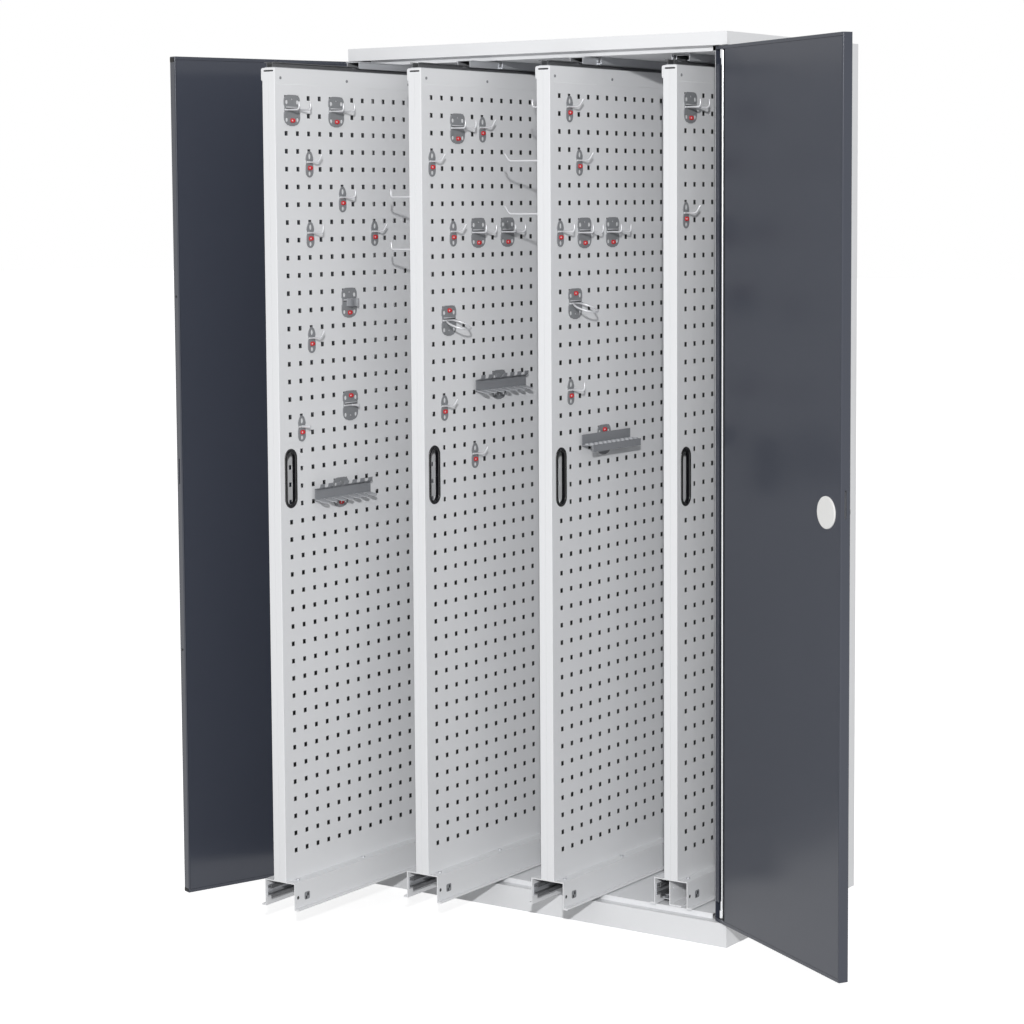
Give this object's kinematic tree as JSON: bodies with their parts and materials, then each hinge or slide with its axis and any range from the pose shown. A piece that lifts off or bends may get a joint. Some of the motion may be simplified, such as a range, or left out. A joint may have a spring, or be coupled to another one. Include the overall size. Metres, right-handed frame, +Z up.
{
  "type": "tool cabinet with doors",
  "caption": "Tall steel tool cabinet with two hinged doors and vertical perforated pull-outs that carry hooks, tool holders and racks",
  "frame": {"origin": "middle of the cabinet footprint, on the floor", "axes": "+X to the right as seen from in front, +Y to the back, +Z up"},
  "size_m": [1.5566, 1.0623, 1.95],
  "materials": {
    "carcass_paint": "satin light grey powder coat",
    "panel_paint": "satin light grey powder coat",
    "door_paint": "satin anthracite powder coat",
    "zinc_steel": "zinc-plated",
    "bright_rod": "bright drawn rod",
    "white_plastic": "smooth",
    "black_plastic": "matt",
    "hook_paint": "grey-coated steel",
    "red_plastic": "smooth"
  },
  "bodies": {
    "carcass": {"top_panel": "carcass_paint", "ceiling_panel": "carcass_paint", "floor_panel": "carcass_paint", "plinth_frame": "carcass_paint", "left_side_wall": "carcass_paint", "right_side_wall": "carcass_paint", "back_panel": "carcass_paint", "floor_brackets": "zinc_steel", "top_outer_slides": "zinc_steel", "bottom_outer_slides": "zinc_steel", "levelling_feet": "black_plastic", "hinge_bushes": "white_plastic"},
    "left_door": {"left_door_shell": "door_paint", "left_door_inner_panel": "door_paint", "left_hinge_rod": "bright_rod", "left_door_buffers": "black_plastic"},
    "right_door": {"right_door_shell": "door_paint", "right_door_inner_panel": "door_paint", "right_hinge_rod": "bright_rod", "lock_case": "zinc_steel", "lock_cover": "white_plastic"},
    "lock": {"lock_handle": "black_plastic", "lock_hook": "zinc_steel"},
    "pullout_1": {"pullout_1_frame": "panel_paint", "pullout_1_right_sheet": "panel_paint", "pullout_1_left_sheet": "panel_paint", "pullout_1_channel": "panel_paint", "pullout_1_runners": "zinc_steel", "pullout_1_grip_trim": "black_plastic", "pullout_1_hooks": "hook_paint", "pullout_1_hook_locks": "red_plastic"},
    "pullout_1_mid": {"pullout_1_mid_slides": "zinc_steel"},
    "pullout_2": {"pullout_2_frame": "panel_paint", "pullout_2_right_sheet": "panel_paint", "pullout_2_left_sheet": "panel_paint", "pullout_2_channel": "panel_paint", "pullout_2_runners": "zinc_steel", "pullout_2_grip_trim": "black_plastic", "pullout_2_hooks": "hook_paint", "pullout_2_hook_locks": "red_plastic"},
    "pullout_2_mid": {"pullout_2_mid_slides": "zinc_steel"},
    "pullout_3": {"pullout_3_frame": "panel_paint", "pullout_3_right_sheet": "panel_paint", "pullout_3_left_sheet": "panel_paint", "pullout_3_channel": "panel_paint", "pullout_3_runners": "zinc_steel", "pullout_3_grip_trim": "black_plastic", "pullout_3_hooks": "hook_paint", "pullout_3_hook_locks": "red_plastic"},
    "pullout_3_mid": {"pullout_3_mid_slides": "zinc_steel"},
    "pullout_4": {"pullout_4_frame": "panel_paint", "pullout_4_right_sheet": "panel_paint", "pullout_4_left_sheet": "panel_paint", "pullout_4_channel": "panel_paint", "pullout_4_runners": "zinc_steel", "pullout_4_grip_trim": "black_plastic", "pullout_4_hooks": "hook_paint", "pullout_4_hook_locks": "red_plastic"},
    "pullout_4_mid": {"pullout_4_mid_slides": "zinc_steel"}
  },
  "joints": [
    {"name": "left_door_hinge", "type": "hinge", "parent": "carcass", "child": "left_door", "pos_m": [-0.4828, -0.2877, 0.986], "axis": [0, 0, -1], "range_deg": [-26.5, 55.5]},
    {"name": "right_door_hinge", "type": "hinge", "parent": "carcass", "child": "right_door", "pos_m": [0.4828, -0.2877, 0.986], "axis": [0, 0, 1], "range_deg": [-109.5, 15.5]},
    {"name": "lock_turn", "type": "hinge", "parent": "right_door", "child": "lock", "pos_m": [0.86358, -0.48612, 0.986], "axis": [0.5075, 0.8616, 0], "range_deg": [0, 90]},
    {"name": "pullout_1_slide", "type": "slide", "parent": "carcass", "child": "pullout_1", "axis": [0, -1, 0], "range_m": [-0.4893, 0.0457]},
    {"name": "pullout_1_mid_slide", "type": "slide", "parent": "carcass", "child": "pullout_1_mid", "axis": [0, -1, 0], "range_m": [-0.24485, 0.02305]},
    {"name": "pullout_2_slide", "type": "slide", "parent": "carcass", "child": "pullout_2", "axis": [0, -1, 0], "range_m": [-0.2693, 0.2657]},
    {"name": "pullout_2_mid_slide", "type": "slide", "parent": "carcass", "child": "pullout_2_mid", "axis": [0, -1, 0], "range_m": [-0.13485, 0.13305]},
    {"name": "pullout_3_slide", "type": "slide", "parent": "carcass", "child": "pullout_3", "axis": [0, -1, 0], "range_m": [-0.1642, 0.3708]},
    {"name": "pullout_3_mid_slide", "type": "slide", "parent": "carcass", "child": "pullout_3_mid", "axis": [0, -1, 0], "range_m": [-0.0823, 0.1856]},
    {"name": "pullout_4_slide", "type": "slide", "parent": "carcass", "child": "pullout_4", "axis": [0, -1, 0], "range_m": [-0.0143, 0.5207]},
    {"name": "pullout_4_mid_slide", "type": "slide", "parent": "carcass", "child": "pullout_4_mid", "axis": [0, -1, 0], "range_m": [-0.00735, 0.26055]}
  ],
  "couplings": [
    {"joint": "pullout_1_mid_slide", "follows": "pullout_1_slide", "ratio": 0.5},
    {"joint": "pullout_2_mid_slide", "follows": "pullout_2_slide", "ratio": 0.5},
    {"joint": "pullout_3_mid_slide", "follows": "pullout_3_slide", "ratio": 0.5},
    {"joint": "pullout_4_mid_slide", "follows": "pullout_4_slide", "ratio": 0.5}
  ]
}
